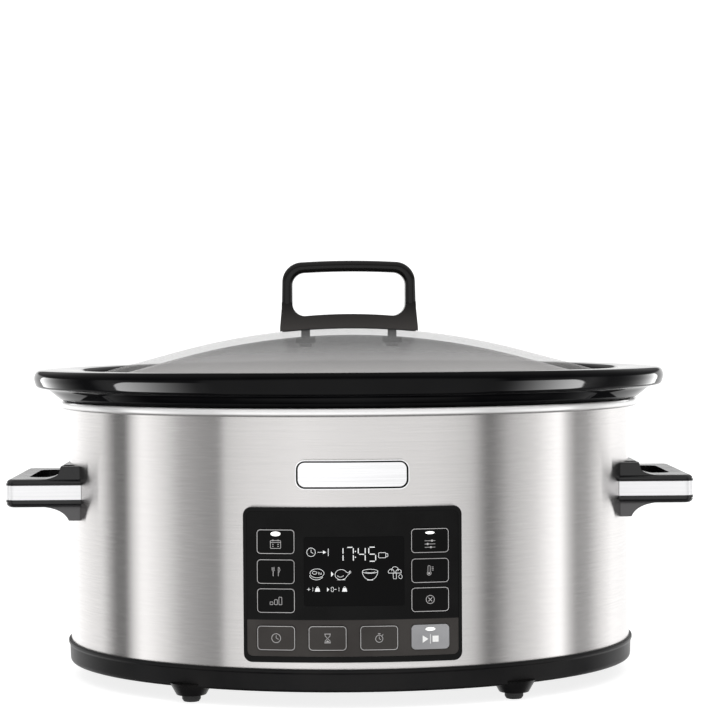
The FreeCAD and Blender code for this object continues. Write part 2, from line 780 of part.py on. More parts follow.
def lid_glass():
    k = LID_RATIO
    top = lid_corners(0, 158)
    under = lid_corners(LID_T, 148)
    edge = [
        ((163.6, 163.6 * k, dome(163.6)), 3),
        ((LID_A, LID_A * k, 190.6), 1.5),
        ((LID_A, LID_A * k, 188.3), 1.2),
        ((158.6, 158.6 * k, 188.3), 1.5),
        ((154.5, 154.5 * k, 189.6), 3),
    ]
    under.reverse()
    glass = skin(top + edge + under)
    holes = [rod_z(sx * LID_SCREW_X, 0, 200, 240, 3.0) for sx in (-1, 1)]
    return glass.cut(holes)


def below_dome(offset):
    rows = lid_corners(-offset, 120)
    rows.append(((130.0, 130.0 * LID_RATIO, dome(130) + offset), 0))
    rows.append(((130.0, 130.0 * LID_RATIO, 170.0), 0))
    return skin(rows)


def handle_outline(half_depth):
    # front shape of the lid handle: slightly flared foot, arched top, rounded shoulders
    top = HANDLE_TOP
    y = -half_depth
    outer = Part.makePolygon([
        V(-HANDLE_HALF, y, 212), V(-HANDLE_HALF, y, 222), V(-43.2, y, 234), V(-42.4, y, top + 4),
        V(42.4, y, top + 4), V(43.2, y, 234), V(HANDLE_HALF, y, 222),
        V(HANDLE_HALF, y, 212), V(-HANDLE_HALF, y, 212)])
    block = Part.Face(outer).extrude(V(0, 2 * half_depth, 0))
    arch = Part.makeCylinder(520, 60, V(0, -30, top - 520), V(0, 1, 0))
    block = block.common(arch)
    tops = []
    for e in edges_along(block, V(0, 1, 0)):
        p = e.Vertexes[0].Point
        if p.z > top - 4 and abs(p.x) > 40:
            tops.append(e)
    return block.makeFillet(13.0, tops)


def handle_window():
    window = box(-36.3, 36.3, -30, 30, 222, 262)
    crown = Part.makeCylinder(520, 60, V(0, -30, 257.5 - 520), V(0, 1, 0))
    mound = Part.makeCylinder(330, 60, V(0, -30, 230.2 - 330), V(0, 1, 0))
    window = window.common(crown).cut(mound)
    return window.makeFillet(8.0, edges_along(window, V(0, 1, 0)))


def handle_side_profile():
    curve = Part.BSplineCurve()
    curve.buildFromPolesMultsKnots([V(60, -15.0, 220), V(60, -11.6, 226), V(60, -9.4, 238)],
                                   [3, 3], [0, 1], False, 2)
    front = curve.toShape()
    back = front.mirror(V(0, 0, 0), V(0, 1, 0))
    edges = [
        Part.makeLine(V(60, -15.0, 205), V(60, -15.0, 220)),
        front,
        Part.makeLine(V(60, -9.4, 238), V(60, 9.4, 238)),
        back,
        Part.makeLine(V(60, 15.0, 220), V(60, 15.0, 205)),
        Part.makeLine(V(60, 15.0, 205), V(60, -15.0, 205)),
    ]
    wire = Part.Wire(Part.__sortEdges__(edges))
    return Part.Face(wire).extrude(V(-120, 0, 0))


def lid_handle():
    depth = 9.6
    loop = handle_outline(depth).cut(handle_window())
    rounding = []
    for e in loop.Edges:
        b = e.BoundBox
        on_face = b.YLength < 1e-6 and abs(abs(b.YMin) - depth) < 1e-6
        if on_face and b.ZMax > 213:
            rounding.append(e)
    loop = loop.makeFillet(3.0, rounding)
    foot_part = handle_outline(15.0).common(handle_side_profile())
    body = loop.fuse(foot_part.cut(handle_window()))
    body = body.cut(below_dome(0.85))
    bores = []
    for sx in (-1, 1):
        bores.append(rod_z(sx * LID_SCREW_X, 0, 200, 228.0, 1.9))
    return body.cut(bores)


def lid_handle_gasket():
    pad = soft_box(-43.0, 43.0, -14.0, 14.0, 205, 230, 5, V(0, 0, 1))
    pad = pad.common(below_dome(0.80)).cut(below_dome(0.05))
    for sx in (-1, 1):
        pad = pad.cut(rod_z(sx * LID_SCREW_X, 0, 200, 240, 2.3))
    return pad


def lid_washers():
    out = []
    under = below_dome(-LID_T - 0.08)
    for sx in (-1, 1):
        x = sx * LID_SCREW_X
        ring = rod_z(x, 0, 211.6, 220, 6.3).cut(rod_z(x, 0, 200, 230, 2.2))
        collar = rod_z(x, 0, 214.0, 223.5, 2.9).cut(rod_z(x, 0, 200, 230, 2.2))
        out.append(ring.common(under).fuse(collar.common(below_dome(-0.5))).removeSplitter())
    return Part.makeCompound(out)


def lid_screws():
    out = []
    for sx in (-1, 1):
        x = sx * LID_SCREW_X
        head = Part.makeCylinder(4.2, 2.4, V(x, 0, 209.1), V(0, 0, 1))
        rim = [e for e in head.Edges if e.BoundBox.ZMax < 209.2 and e.Length > 20]
        head = head.makeFillet(1.2, rim)
        shank = rod_z(x, 0, 211.3, 226.8, 1.85)
        cross = box(x - 2.3, x + 2.3, -0.5, 0.5, 208, 210.3)
        cross = cross.fuse(box(x - 0.5, x + 0.5, -2.3, 2.3, 208, 210.3))
        out.append(head.fuse(shank).removeSplitter().cut(cross))
    return Part.makeCompound(out)


# ---- write every piece -----------------------------------------------------------------
write("housing_wrap", housing_wrap())
write("wrap_brackets", wrap_brackets())
write("heating_well", heating_well())
write("heater_band", heater_band())
write("band_clamp", band_clamp())
write("heat_shield", heat_shield())
write("shield_plate", shield_plate())
write("base_pan", base_pan())
for fx, fy, word in ((-1, -1, "front_left"), (1, -1, "front_right"), (-1, 1, "rear_left"), (1, 1, "rear_right")):
    write("foot_" + word, foot(fx, fy))
write("base_screws", base_screws())
write("power_board", power_board())
board_parts()
write("thermal_fuse", thermal_fuse())
write("temperature_sensor", temperature_sensor())
write("sensor_spring", sensor_spring())
wires()
write("panel_bezel", panel_bezel())
write("panel_face", panel_face())
write("display_window", display_window())
write("lcd_module", lcd_module())
write("control_board", control_board())
write("tact_switches", tact_switches())
write("indicator_leds", indicator_leds())
write("board_screws", board_screws())
write("panel_back_cover", panel_back_cover())
for label, (kx, kz) in KEYS.items():
    write(label, key(kx, kz))
right_grip = handle_grip()
write("handle_grip_right", right_grip)
write("handle_grip_left", mirrored(right_grip))
right_trim = handle_trim()
write("handle_trim_right", right_trim)
write("handle_trim_left", mirrored(right_trim))
right_plate = handle_plate()
write("handle_plate_right", right_plate)
write("handle_plate_left", mirrored(right_plate))
write("handle_screws", handle_screws())
write("badge", badge())
write("cord_gland", cord_gland())
write("crock", crock())
write("lid_glass", lid_glass())
write("lid_handle", lid_handle())
write("lid_handle_gasket", lid_handle_gasket())
write("lid_washers", lid_washers())
write("lid_screws", lid_screws())
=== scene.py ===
import json
import math

import bpy
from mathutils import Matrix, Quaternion, Vector

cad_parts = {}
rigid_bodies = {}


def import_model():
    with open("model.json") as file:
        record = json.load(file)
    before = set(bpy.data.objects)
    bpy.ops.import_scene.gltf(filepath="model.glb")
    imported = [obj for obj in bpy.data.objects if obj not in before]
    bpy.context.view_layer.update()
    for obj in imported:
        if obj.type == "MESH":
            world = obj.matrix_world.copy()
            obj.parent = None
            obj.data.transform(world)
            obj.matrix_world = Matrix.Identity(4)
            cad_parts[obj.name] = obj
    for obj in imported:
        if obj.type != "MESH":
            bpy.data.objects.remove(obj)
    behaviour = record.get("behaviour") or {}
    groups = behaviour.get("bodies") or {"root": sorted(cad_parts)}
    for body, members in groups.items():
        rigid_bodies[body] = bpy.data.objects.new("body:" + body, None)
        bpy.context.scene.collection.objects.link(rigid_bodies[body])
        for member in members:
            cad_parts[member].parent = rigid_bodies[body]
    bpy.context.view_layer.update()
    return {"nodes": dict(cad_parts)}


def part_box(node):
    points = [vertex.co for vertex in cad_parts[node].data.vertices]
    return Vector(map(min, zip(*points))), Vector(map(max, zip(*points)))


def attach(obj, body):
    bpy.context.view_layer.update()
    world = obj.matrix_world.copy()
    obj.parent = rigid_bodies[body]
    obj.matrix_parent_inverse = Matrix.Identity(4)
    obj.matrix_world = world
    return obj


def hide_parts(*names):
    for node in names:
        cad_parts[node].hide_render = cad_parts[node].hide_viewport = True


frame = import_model()
nodes = frame["nodes"]
MM = 0.001


# ---------------------------------------------------------------- materials
def shader(name, color, metallic=0.0, rough=0.4, spec=0.5):
    mat = bpy.data.materials.new(name)
    mat.use_nodes = True
    tree = mat.node_tree
    bsdf = tree.nodes["Principled BSDF"]
    bsdf.inputs["Base Color"].default_value = (*color, 1)
    bsdf.inputs["Metallic"].default_value = metallic
    bsdf.inputs["Roughness"].default_value = rough
    bsdf.inputs["Specular IOR Level"].default_value = spec
    return mat, tree, bsdf


def node(tree, kind, **values):
    n = tree.nodes.new(kind)
    for key, value in values.items():
        setattr(n, key, value)
    return n


def object_coords(tree, scale):
    coords = node(tree, "ShaderNodeTexCoord")
    mapping = node(tree, "ShaderNodeMapping")
    mapping.inputs["Scale"].default_value = scale
    tree.links.new(coords.outputs["Object"], mapping.inputs["Vector"])
    return mapping.outputs["Vector"]


def noise(tree, scale, detail=3.0, rough=0.5, stretch=(1, 1, 1)):
    tex = node(tree, "ShaderNodeTexNoise")
    tex.inputs["Scale"].default_value = scale
    tex.inputs["Detail"].default_value = detail
    tex.inputs["Roughness"].default_value = rough
    tree.links.new(object_coords(tree, stretch), tex.inputs["Vector"])
    return tex.outputs["Fac"]


def ramp_between(tree, fac, low, high, start=0.35, end=0.65):
    ramp = node(tree, "ShaderNodeValToRGB")
    ramp.color_ramp.elements[0].position = start
    ramp.color_ramp.elements[1].position = end
    ramp.color_ramp.elements[0].color = (*low, 1)
    ramp.color_ramp.elements[1].color = (*high, 1)
    tree.links.new(fac, ramp.inputs["Fac"])
    return ramp.outputs["Color"]


def number_between(tree, fac, low, high):
    m = node(tree, "ShaderNodeMapRange")
    m.inputs["From Min"].default_value = 0.3
    m.inputs["From Max"].default_value = 0.7
    m.inputs["To Min"].default_value = low
    m.inputs["To Max"].default_value = high
    tree.links.new(fac, m.inputs["Value"])
    return m.outputs["Result"]


def bump(tree, bsdf, fac, strength, distance):
    b = node(tree, "ShaderNodeBump")
    b.inputs["Strength"].default_value = strength
    b.inputs["Distance"].default_value = distance
    tree.links.new(fac, b.inputs["Height"])
    tree.links.new(b.outputs["Normal"], bsdf.inputs["Normal"])
    return b


def plastic(name, low, high, rough=(0.3, 0.4), grain=900.0, depth=0.00002, spec=0.5, coat=0.0):
    mat, tree, bsdf = shader(name, high, 0.0, rough[0], spec)
    fine = noise(tree, grain, 4.0)
    broad = noise(tree, 30.0, 3.0)
    tree.links.new(ramp_between(tree, broad, low, high), bsdf.inputs["Base Color"])
    tree.links.new(number_between(tree, broad, *rough), bsdf.inputs["Roughness"])
    bump(tree, bsdf, fine, 0.25, depth)
    bsdf.inputs["Coat Weight"].default_value = coat
    bsdf.inputs["Coat Roughness"].default_value = 0.05
    return mat


def metal(name, low, high, rough=(0.25, 0.35), stretch=(1, 1, 1), grain=400.0, depth=0.00001, share=1.0):
    mat, tree, bsdf = shader(name, high, share, rough[0])
    fine = noise(tree, grain, 5.0, 0.6, stretch)
    tree.links.new(ramp_between(tree, fine, low, high), bsdf.inputs["Base Color"])
    tree.links.new(number_between(tree, fine, *rough), bsdf.inputs["Roughness"])
    bump(tree, bsdf, fine, 0.2, depth)
    return mat


def mix_colors(tree, fac, low, high):
    m = node(tree, "ShaderNodeMix", data_type="RGBA")
    tree.links.new(fac, m.inputs["Factor"])
    for key, value in (("A", low), ("B", high)):
        if isinstance(value, tuple):
            m.inputs[key].default_value = (*value, 1)
        else:
            tree.links.new(value, m.inputs[key])
    return m.outputs["Result"]


def height_step(tree, low, high, out_low=0.0, out_high=1.0):
    # a number that changes from out_low to out_high between two heights, in metres
    coords = node(tree, "ShaderNodeTexCoord")
    split = node(tree, "ShaderNodeSeparateXYZ")
    step = node(tree, "ShaderNodeMapRange")
    tree.links.new(coords.outputs["Object"], split.inputs["Vector"])
    tree.links.new(split.outputs["Z"], step.inputs["Value"])
    step.inputs["From Min"].default_value = low
    step.inputs["From Max"].default_value = high
    step.inputs["To Min"].default_value = out_low
    step.inputs["To Max"].default_value = out_high
    return step.outputs["Result"]


BEAD_START = (0.1704, 0.1708)   # heights between which the wall's finish gives way to the bead's painted highlight and shade


def steel_material():
    # brushed along the long way round; the bead along the rolled top edge is painted lighter and made partly
    # non-metal as a highlight, with its lower half painted dark as shade
    mat, tree, bsdf = shader("brushed_steel", (0.75, 0.74, 0.73), 1.0, 0.22)
    long_grain = noise(tree, 1.0, 5.0, 0.6, (9, 9, 2600))
    short_grain = noise(tree, 1.0, 4.0, 0.55, (85, 85, 1300))
    bright = (0.78, 0.762, 0.752)
    along = ramp_between(tree, long_grain, (0.70, 0.683, 0.675), bright)
    flecks = ramp_between(tree, short_grain, (0.69, 0.673, 0.665), bright)
    body = mix_colors(tree, short_grain, along, flecks)
    # painted light: the bead's lower half is painted dark as shade, the rest painted near white as its
    # highlight
    edge = mix_colors(tree, height_step(tree, 0.1716, 0.1727), (0.30, 0.295, 0.29), (0.97, 0.965, 0.96))
    bead_painted_light_mask = height_step(tree, *BEAD_START)
    tree.links.new(mix_colors(tree, bead_painted_light_mask, body, edge), bsdf.inputs["Base Color"])
    tree.links.new(height_step(tree, *BEAD_START, 1.0, 0.45), bsdf.inputs["Metallic"])
    tree.links.new(number_between(tree, short_grain, 0.19, 0.23), bsdf.inputs["Roughness"])
    bump(tree, bsdf, short_grain, 0.2, 0.000001)
    tangent = node(tree, "ShaderNodeTangent")
    tangent.direction_type = "RADIAL"
    tangent.axis = "Z"
    tree.links.new(tangent.outputs["Tangent"], bsdf.inputs["Tangent"])
    bsdf.inputs["Anisotropic"].default_value = 1.0
    bsdf.inputs["Anisotropic Rotation"].default_value = 0.25
    return mat


STEEL = steel_material()
INNER_METAL = metal("inner_sheet", (0.55, 0.55, 0.56), (0.72, 0.72, 0.73), (0.3, 0.45))
SATIN = metal("satin_strip", (0.90, 0.90, 0.91), (0.97, 0.97, 0.98), (0.3, 0.4), (4, 4, 400), 3.0,
              share=0.55)
SCREW = metal("zinc_screws", (0.5, 0.5, 0.52), (0.7, 0.7, 0.72), (0.25, 0.4))
BADGE = metal("badge_plate", (0.82, 0.82, 0.83), (0.93, 0.93, 0.94), (0.12, 0.2), (4, 4, 300), 3.0)


def moulded_material(name, dark, light, z_dark, z_light, spec):
    # moulded black, painted greyer towards one height in place of a reflection of the table
    mat, tree, bsdf = shader(name, dark, 0.0, 0.18, spec)
    grain = noise(tree, 30.0, 3.0)
    deep = ramp_between(tree, grain, tuple(0.7 * c for c in dark), dark)
    tone = mix_colors(tree, height_step(tree, z_dark, z_light), deep, light)
    tree.links.new(tone, bsdf.inputs["Base Color"])
    tree.links.new(number_between(tree, grain, 0.14, 0.22), bsdf.inputs["Roughness"])
    bump(tree, bsdf, noise(tree, 700.0, 4.0), 0.25, 0.000008)
    return mat


BLACK_GLOSS = moulded_material("black_handle_plastic", (0.007, 0.007, 0.0075), (0.085, 0.083, 0.085),
                               0.1125, 0.1095, 0.42)
LID_HANDLE = moulded_material("lid_handle_plastic", (0.006, 0.0055, 0.0053), (0.040, 0.036, 0.034),
                              0.238, 0.222, 0.26)
BLACK_MATT = plastic("black_base_plastic", (0.004, 0.004, 0.0045), (0.009, 0.0085, 0.0085), (0.3, 0.42),
                     900.0, 0.00002, 0.14)
RUBBER = plastic("foot_rubber", (0.012, 0.012, 0.012), (0.03, 0.03, 0.03), (0.6, 0.8))
SEAL = plastic("gasket_silicone", (0.02, 0.02, 0.02), (0.05, 0.05, 0.05), (0.4, 0.55))
PANEL_FRAME = plastic("panel_frame_gloss", (0.0015, 0.0015, 0.0015), (0.003, 0.003, 0.003), (0.14, 0.2),
                      500.0, 0.000005, 0.12)
KEY_BLACK = plastic("key_black", (0.002, 0.002, 0.002), (0.004, 0.004, 0.004), (0.3, 0.36),
                    1500.0, 0.000008, 0.08)
KEY_WARM = plastic("key_warm_grey", (0.040, 0.036, 0.034), (0.050, 0.046, 0.043), (0.3, 0.36),
                   1500.0, 0.000008, 0.12)
KEY_GREY = plastic("key_pale", (0.25, 0.25, 0.26), (0.33, 0.33, 0.34), (0.3, 0.4))
PRINT_PALE = plastic("pale_print", (0.42, 0.41, 0.41), (0.55, 0.54, 0.54), (0.4, 0.5))
PRINT_WHITE = plastic("white_print", (0.85, 0.85, 0.84), (0.95, 0.95, 0.94), (0.4, 0.5))


def glowing(name, color, strength):
    mat = plastic(name, color, color, (0.3, 0.4))
    tree = mat.node_tree
    bsdf = tree.nodes["Principled BSDF"]
    tone = ramp_between(tree, noise(tree, 200.0), tuple(0.9 * c for c in color), color)
    tree.links.new(tone, bsdf.inputs["Emission Color"])
    bsdf.inputs["Emission Strength"].default_value = strength
    return mat


LAMP_ON = glowing("lamp_lit", (0.95, 0.95, 0.93), 0.8)
SEGMENT = glowing("display_segments", (0.75, 0.76, 0.76), 0.35)
BOARD = plastic("board_laminate", (0.01, 0.09, 0.04), (0.02, 0.14, 0.06), (0.3, 0.5), 300.0)
PART_BLACK = plastic("component_black", (0.02, 0.02, 0.02), (0.045, 0.045, 0.05), (0.4, 0.6))
PART_YELLOW = plastic("capacitor_yellow", (0.6, 0.42, 0.05), (0.75, 0.55, 0.08), (0.3, 0.45))
COPPER = metal("winding_copper", (0.35, 0.16, 0.07), (0.55, 0.28, 0.12), (0.3, 0.5))
MICA = plastic("heater_cloth", (0.4, 0.36, 0.3), (0.55, 0.5, 0.42), (0.6, 0.8), 1200.0)
WIRE = plastic("wire_sleeve", (0.5, 0.5, 0.48), (0.7, 0.7, 0.67), (0.5, 0.6))
RIBBON = plastic("ribbon_grey", (0.35, 0.35, 0.36), (0.5, 0.5, 0.51), (0.5, 0.6))
LENS = plastic("lamp_lens", (0.8, 0.8, 0.78), (0.9, 0.9, 0.88), (0.2, 0.3))
GLAZE = plastic("black_glaze", (0.0008, 0.0008, 0.001), (0.0016, 0.0016, 0.0018), (0.04, 0.07),
                60.0, 0.00001, 0.12)


def panel_print_material():
    # glossy black above, warm grey field below, split at a fixed height
    mat, tree, bsdf = shader("panel_face_print", (0.006, 0.006, 0.006), 0.0, 0.2, 0.1)
    grey = ramp_between(tree, noise(tree, 40.0), (0.040, 0.036, 0.034), (0.050, 0.046, 0.043))
    black = ramp_between(tree, noise(tree, 55.0), (0.002, 0.002, 0.002), (0.004, 0.004, 0.004))
    tone = mix_colors(tree, height_step(tree, 0.0521, 0.0525), grey, black)
    tree.links.new(tone, bsdf.inputs["Base Color"])
    tree.links.new(number_between(tree, noise(tree, 25.0), 0.16, 0.24), bsdf.inputs["Roughness"])
    return mat


def glass_material(name, foot, crown, alpha, spec):
    # a fixed see-through share, painted lighter towards the foot of the dome in place of reflections
    mat, tree, bsdf = shader(name, foot, 0.0, 0.2, spec)
    tone = mix_colors(tree, height_step(tree, 0.196, 0.213), foot, crown)
    low = mix_colors(tree, noise(tree, 14.0), tone, crown)
    tree.links.new(mix_colors(tree, number_between(tree, noise(tree, 14.0), 0.0, 0.15), tone, low),
                   bsdf.inputs["Base Color"])
    tree.links.new(number_between(tree, noise(tree, 18.0), 0.16, 0.22), bsdf.inputs["Roughness"])
    bsdf.inputs["Alpha"].default_value = alpha
    bsdf.inputs["IOR"].default_value = 1.47
    return mat


PANEL_PRINT = panel_print_material()
GLASS = glass_material("lid_glass", (0.42, 0.415, 0.41), (0.38, 0.38, 0.38), 0.3, 0.2)
GLASS_UNDER = glass_material("lid_glass_underside", (0.60, 0.585, 0.58), (0.004, 0.004, 0.004), 0.68, 0.05)
DISPLAY = plastic("display_window", (0.0005, 0.0005, 0.0006), (0.001, 0.001, 0.0012), (0.06, 0.1),
                  300.0, 0.000002, 0.08)


# ---------------------------------------------------------------- mesh helpers
def station(values):
    a, b, z = values[:3]
    return (a, b, z, values[3] if len(values) > 3 else z)


def mix(p, q, t):
    return tuple(p[i] + (q[i] - p[i]) * t for i in range(4))


def gap(p, q):
    return math.sqrt(sum((p[i] - q[i]) ** 2 for i in range(3)))


def rounded(corners, closed=False, steps=7):
    # corners: ((a, b, z[, z at the ends]), radius) -> a chain of stations with rounded corners
    points = [station(c[0]) for c in corners]
    out = []
    count = len(points)
    for i in range(count):
        radius = corners[i][1]
        at_end = not closed and i in (0, count - 1)
        if at_end or radius <= 0:
            out.append(points[i])
            continue
        before = points[i - 1]
        after = points[(i + 1) % count]
        cut = min(radius, 0.5 * gap(points[i], before), 0.5 * gap(points[i], after))
        p = mix(points[i], before, cut / gap(points[i], before))
        q = mix(points[i], after, cut / gap(points[i], after))
        for k in range(steps + 1):
            t = k / steps
            out.append(mix(mix(p, points[i], t), mix(points[i], q, t), t))
    clean = [out[0]]
    for s in out[1:]:
        if gap(clean[-1], s) > 1e-4:
            clean.append(s)
    return clean


def new_object(name, verts, faces, mat, smooth_angle=40.0):
    mesh = bpy.data.meshes.new(name)
    mesh.from_pydata(verts, [], faces)
    mesh.validate()
    mesh.polygons.foreach_set("use_smooth", [True] * len(mesh.polygons))
    mesh.set_sharp_from_angle(angle=math.radians(smooth_angle))
    mesh.materials.append(mat)
    obj = bpy.data.objects.new(name, mesh)
    bpy.context.scene.collection.objects.link(obj)
    return obj


def oval_mesh(name, chain, mat, closed=False, segments=320, angles=None, skip=None, smooth_angle=40.0):
    turns = angles or [2 * math.pi * k / segments for k in range(segments)]
    n = len(turns)
    verts = []
    for a, b, zf, ze in chain:
        for t in turns:
            c = math.cos(t)
            verts.append((a * c * MM, b * math.sin(t) * MM, (zf + (ze - zf) * c * c) * MM))
    faces = []
    rows = len(chain)
    for j in range(rows if closed else rows - 1):
        j2 = (j + 1) % rows
        for k in range(n):
            k2 = (k + 1) % n
            if skip and skip(chain[j], chain[j2], turns[k], turns[k2]):
                continue
            faces.append((j * n + k, j * n + k2, j2 * n + k2, j2 * n + k))
    if not closed:
        faces.append(tuple(range(n - 1, -1, -1)))
        faces.append(tuple((rows - 1) * n + k for k in range(n)))
    return new_object(name, verts, faces, mat, smooth_angle)


def place(obj, body, slot_name, *replaced):
    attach(obj, body)
    if replaced:
        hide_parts(*replaced)
    return obj


# ---------------------------------------------------------------- CAD pieces carried over
CARRIED = {
    "wrap_brackets": INNER_METAL, "heating_well": INNER_METAL, "heater_band": MICA, "band_clamp": SCREW,
    "heat_shield": INNER_METAL, "shield_plate": INNER_METAL, "base_pan": BLACK_MATT,
    "foot_front_left": RUBBER, "foot_front_right": RUBBER,
    "foot_rear_left": RUBBER, "foot_rear_right": RUBBER,
    "base_screws": SCREW, "power_board": BOARD, "power_relay": PART_BLACK, "filter_capacitor": PART_YELLOW,
    "power_transformer": COPPER, "terminal_block": RIBBON,
    "thermal_fuse": WIRE, "temperature_sensor": INNER_METAL,
    "sensor_spring": SCREW, "mains_wires": WIRE, "heater_wires": WIRE, "sensor_wires": WIRE,
    "ribbon_cable": RIBBON, "panel_bezel": PANEL_FRAME, "panel_face": PANEL_PRINT, "display_window": DISPLAY,
    "lcd_module": PART_BLACK, "control_board": BOARD, "tact_switches": PART_BLACK, "indicator_leds": LENS,
    "board_screws": SCREW, "panel_back_cover": BLACK_MATT, "handle_grip_right": BLACK_GLOSS,
    "handle_grip_left": BLACK_GLOSS, "handle_trim_right": SATIN, "handle_trim_left": SATIN,
    "handle_plate_right": INNER_METAL, "handle_plate_left": INNER_METAL, "handle_screws": SCREW,
    "badge": BADGE, "cord_gland": BLACK_MATT, "lid_handle": LID_HANDLE, "lid_handle_gasket": SEAL,
    "lid_washers": SEAL, "lid_screws": SCREW, "housing_wrap": STEEL, "crock": GLAZE, "lid_glass": GLASS,
}
for name, obj in nodes.items():
    key_mat = KEY_GREY if name == "key_start" else KEY_WARM if name.startswith("key_low") else KEY_BLACK
    mat = CARRIED.get(name, key_mat)
    obj.data.materials.clear()
    obj.data.materials.append(mat)


# ---------------------------------------------------------------- housing
WRAP_A, WRAP_B, WRAP_T, WRAP_Z0 = 180.2, 135.0, 0.7, 23.3
BEAD_Z, BEAD_R, BEAD_REACH = 173.4, 2.3, 6.4
HOLE_X, HOLE_Z0, HOLE_Z1 = 61.7, 31.0, 116.5


def housing():
    a0 = WRAP_A - WRAP_T
    b0 = WRAP_B - WRAP_T
    reach = BEAD_REACH
    top = BEAD_Z + BEAD_R
    low = BEAD_Z - BEAD_R
    inner = BEAD_R - WRAP_T
    angles = set(2 * math.pi * k / 360 for k in range(360))
    for side in (-1, 1):
        for half in (WRAP_A, a0):
            angles.add(1.5 * math.pi + side * math.asin(HOLE_X / half))
    angles = sorted(angles)

    def in_hole(p, q, t0, t1):
        mid = 0.5 * (t0 + t1)
        x = WRAP_A * math.cos(mid)
        z = 0.5 * (p[2] + q[2])
        return math.sin(mid) < 0 and abs(x) < HOLE_X and HOLE_Z0 < z < HOLE_Z1 and abs(p[2] - q[2]) > 1e-6

    levels = [HOLE_Z0, 60.0, 90.0, HOLE_Z1, 140.0]
    chain = [(a0, b0, WRAP_Z0, WRAP_Z0)] + [(a0, b0, z, z) for z in levels]
    chain += rounded([
        ((a0, b0, 150.0), 0), ((a0, b0, top), BEAD_R), ((a0 + reach, b0 + reach, top), BEAD_R),
        ((a0 + reach, b0 + reach, low), BEAD_R), ((a0 + 1.7, b0 + 1.7, low), 0)])
    chain += rounded([
        ((a0 + 1.7, b0 + 1.7, low + WRAP_T), 0),
        ((a0 + reach - WRAP_T, b0 + reach - WRAP_T, low + WRAP_T), inner),
        ((a0 + reach - WRAP_T, b0 + reach - WRAP_T, top - WRAP_T), inner),
        ((WRAP_A, WRAP_B, top - WRAP_T), inner), ((WRAP_A, WRAP_B, 150.0), 0)])
    chain += [(WRAP_A, WRAP_B, z, z) for z in reversed(levels)] + [(WRAP_A, WRAP_B, WRAP_Z0, WRAP_Z0)]
    return oval_mesh("steel_housing", chain, STEEL, closed=True, angles=angles, skip=in_hole)


place(housing(), "base_unit", "steel_body", "housing_wrap")

# ---------------------------------------------------------------- crock
CREST = 196.0
CROCK = [
    ((128.0, 80.0, 55.4), 0), ((140.0, 91.0, 55.4), 2), ((142.0, 93.0, 53.2), 1.5),
    ((151.0, 101.2, 53.2), 12), ((161.6, 112.6, 120.0), 50), ((166.6, 119.6, 176.1), 5),
    ((184.8, 136.6, 176.1), 2), ((189.4, 138.2, 179.6), 4), ((194.0, 139.4, 183.3, 183.5), 4.5),
    ((201.4, 142.0, 183.6, 184.7), 2.0), ((203.1, 142.4, 190.4), 3.0),
    ((201.2, 141.8, CREST + 0.6, 195.2), 5.5), ((187.4, 136.6, CREST + 0.6, 196.0), 9),
    ((170.8, 129.0, CREST - 0.2, 195.4), 4), ((169.6, 127.0, 188.0), 1.6),
    ((161.4, 118.8, 187.6), 3), ((160.4, 113.4, 176.0), 14), ((154.6, 105.8, 120.0), 50),
    ((144.0, 94.0, 65.0), 18), ((118.0, 70.0, 65.0), 0),
]
place(oval_mesh("glazed_crock", rounded(CROCK, steps=10), GLAZE, smooth_angle=60.0),
      "crock", "stoneware", "crock")

# ---------------------------------------------------------------- lid glass
LID_A, LID_RATIO, LID_APEX, LID_T = 167.0, 0.744, 221.3, 4.6


def dome(x):
    if x < 110:
        return LID_APEX - 0.0012 * x * x
    return LID_APEX - 0.0012 * 110 * 110 - 0.270 * (x - 110)


def lid_glass():
    def row(x, z):
        return (x, x * LID_RATIO, z, z)

    top = [row(x, dome(x)) for x in range(4, 161, 4)]
    under = [row(x, dome(x) - LID_T) for x in range(4, 149, 4)]
    edge = rounded([(row(161.0, dome(161.0)), 0), (row(163.6, dome(163.6)), 3), (row(LID_A, 190.6), 1.5),
                    (row(LID_A, 188.3), 1.2), (row(158.6, 188.3), 1.5), (row(154.5, 189.6), 3),
                    (row(150.0, dome(150) - LID_T), 0)])
    chain = top + edge + list(reversed(under))
    shell = oval_mesh("glass_dome", chain, GLASS, smooth_angle=50.0)
    shell.data.materials.append(GLASS_UNDER)
    for face in shell.data.polygons:
        x, y, z = (v / MM for v in face.center)
        face.material_index = int(z < dome(math.hypot(x, y / LID_RATIO)) - 0.7 * LID_T)
    return shell


place(lid_glass(), "lid", "lid_clear", "lid_glass")


# ---------------------------------------------------------------- panel graphics
PANEL_R, PANEL_FRONT = 316.0, 136.2
PANEL_AXIS_Y = PANEL_R - PANEL_FRONT
INK = 0.05          # thickness of a printed layer
PRINT_LIFT = 0.02


def face_radius(node_name):
    # radius of a panel layer's front, about the panel's upright axis
    mesh = nodes[node_name].data
    reach = max(math.hypot(v.co.x / MM, v.co.y / MM - PANEL_AXIS_Y) for v in mesh.vertices)
    return reach


def on_panel(x, z, radius):
    return (x * MM, (PANEL_AXIS_Y - math.sqrt(radius * radius - x * x)) * MM, z * MM)


def dense(points, closed, step=1.5, fixed=0):
    # extra points along straight runs, so that a line follows the curved panel; fixed gives every run
    # the same number of parts, for outlines that are joined point to point
    out = []
    for i, p in enumerate(points):
        out.append(p)
        if closed or i < len(points) - 1:
            q = points[(i + 1) % len(points)]
            parts = fixed or math.ceil(math.hypot(q[0] - p[0], q[1] - p[1]) / step)
            for k in range(1, parts):
                out.append((p[0] + (q[0] - p[0]) * k / parts, p[1] + (q[1] - p[1]) * k / parts))
    return out


